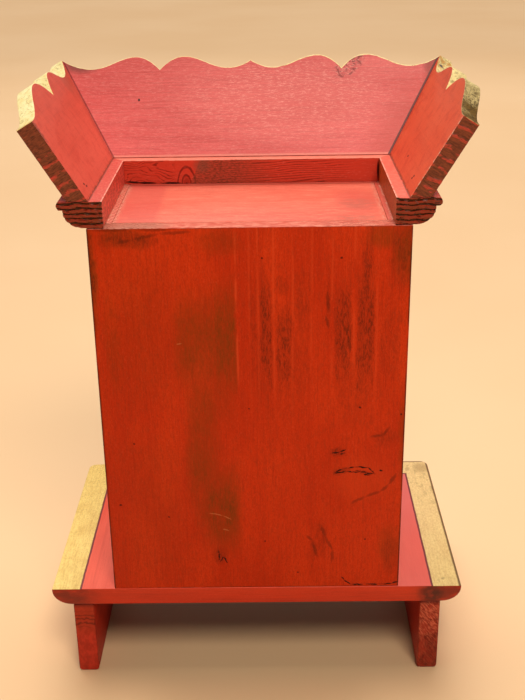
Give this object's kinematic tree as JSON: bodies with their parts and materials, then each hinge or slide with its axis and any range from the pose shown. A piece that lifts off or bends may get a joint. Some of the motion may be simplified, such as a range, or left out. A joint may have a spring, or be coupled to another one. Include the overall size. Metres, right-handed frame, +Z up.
{
  "type": "household altar cabinet",
  "caption": "Small wooden house altar: an open niche on a footed base board, with moulded rails and a flared scalloped crown that is open at the back.",
  "frame": {"origin": "on the floor, at the middle of the outline of the base board", "axes": "+Z up, the open niche looks along -Y, and the flat back looks along +Y"},
  "size_m": [0.3672, 0.23, 0.528],
  "materials": {
    "cabinet_red_paint": "brushed orange red paint over board, satin, with brown age stains",
    "tray_red_paint": "brushed red paint, satin, worn pale",
    "base_red_and_gold_paint": "satin red paint with a brushed gold border",
    "foot_red_paint": "satin red paint, thin on the end grain",
    "rail_red_paint": "satin red paint over strong grain",
    "crown_red_and_gold_paint": "satin red paint with gold edges"
  },
  "bodies": {
    "root": {"back_board": "cabinet_red_paint", "side_board_left": "cabinet_red_paint", "side_board_right": "cabinet_red_paint", "front_frame": "cabinet_red_paint", "top_board": "tray_red_paint", "base_board": "base_red_and_gold_paint", "foot_left": "foot_red_paint", "foot_right": "foot_red_paint", "rail_front": "rail_red_paint", "rail_left": "rail_red_paint", "rail_right": "rail_red_paint", "crown_front": "crown_red_and_gold_paint", "crown_left": "crown_red_and_gold_paint", "crown_right": "crown_red_and_gold_paint"}
  },
  "joints": []
}
